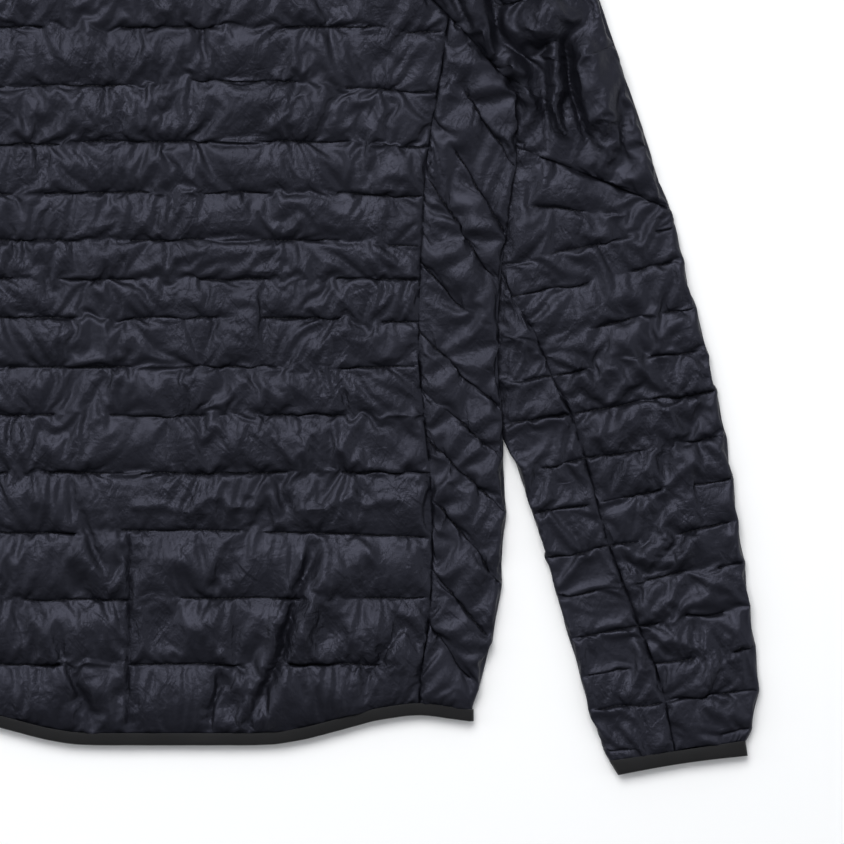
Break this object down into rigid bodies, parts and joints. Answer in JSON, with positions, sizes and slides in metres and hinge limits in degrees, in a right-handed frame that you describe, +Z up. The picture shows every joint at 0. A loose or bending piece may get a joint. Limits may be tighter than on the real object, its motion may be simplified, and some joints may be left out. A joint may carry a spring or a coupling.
{
  "type": "quilted jacket",
  "caption": "Light quilted jacket with raglan sleeves and a stand collar, laid flat on its front with the back up, brick-staggered quilting and bound hem and cuffs",
  "frame": {"origin": "middle of the outline, on the surface that the jacket lies on", "axes": "+Z up out of the back panel, +Y towards the collar, +X the wearer's right sleeve"},
  "size_m": [0.8794, 0.7458, 0.0177],
  "materials": {
    "quilted_nylon": "thin navy-black nylon with a soft gloss, quilted over light wadding",
    "binding": "matte charcoal elastic binding with fine ribs",
    "zip_tape": "black woven zip tape with a closed chain of small teeth",
    "zip_metal": "dark lacquered die-cast metal, satin"
  },
  "bodies": {
    "jacket": {"back_panel": "quilted_nylon", "collar": "quilted_nylon", "hem_binding": "binding", "side_panel_right": "quilted_nylon", "side_panel_left": "quilted_nylon", "front_right": "quilted_nylon", "front_left": "quilted_nylon", "upper_sleeve_right": "quilted_nylon", "upper_sleeve_left": "quilted_nylon", "top_sleeve_right": "quilted_nylon", "top_sleeve_left": "quilted_nylon", "under_sleeve_right": "quilted_nylon", "under_sleeve_left": "quilted_nylon", "cuff_binding_right": "binding", "cuff_binding_left": "binding", "zip_tape_right": "zip_tape", "zip_tape_left": "zip_tape", "zip_slider": "zip_metal"},
    "pull_tab": {"zip_pull_tab": "zip_metal"}
  },
  "joints": [
    {"name": "pull_tab_hinge", "type": "hinge", "parent": "jacket", "child": "pull_tab", "pos_m": [0, 0.29032, 0.0014], "axis": [1, 0, 0], "range_deg": [0, 175]}
  ]
}
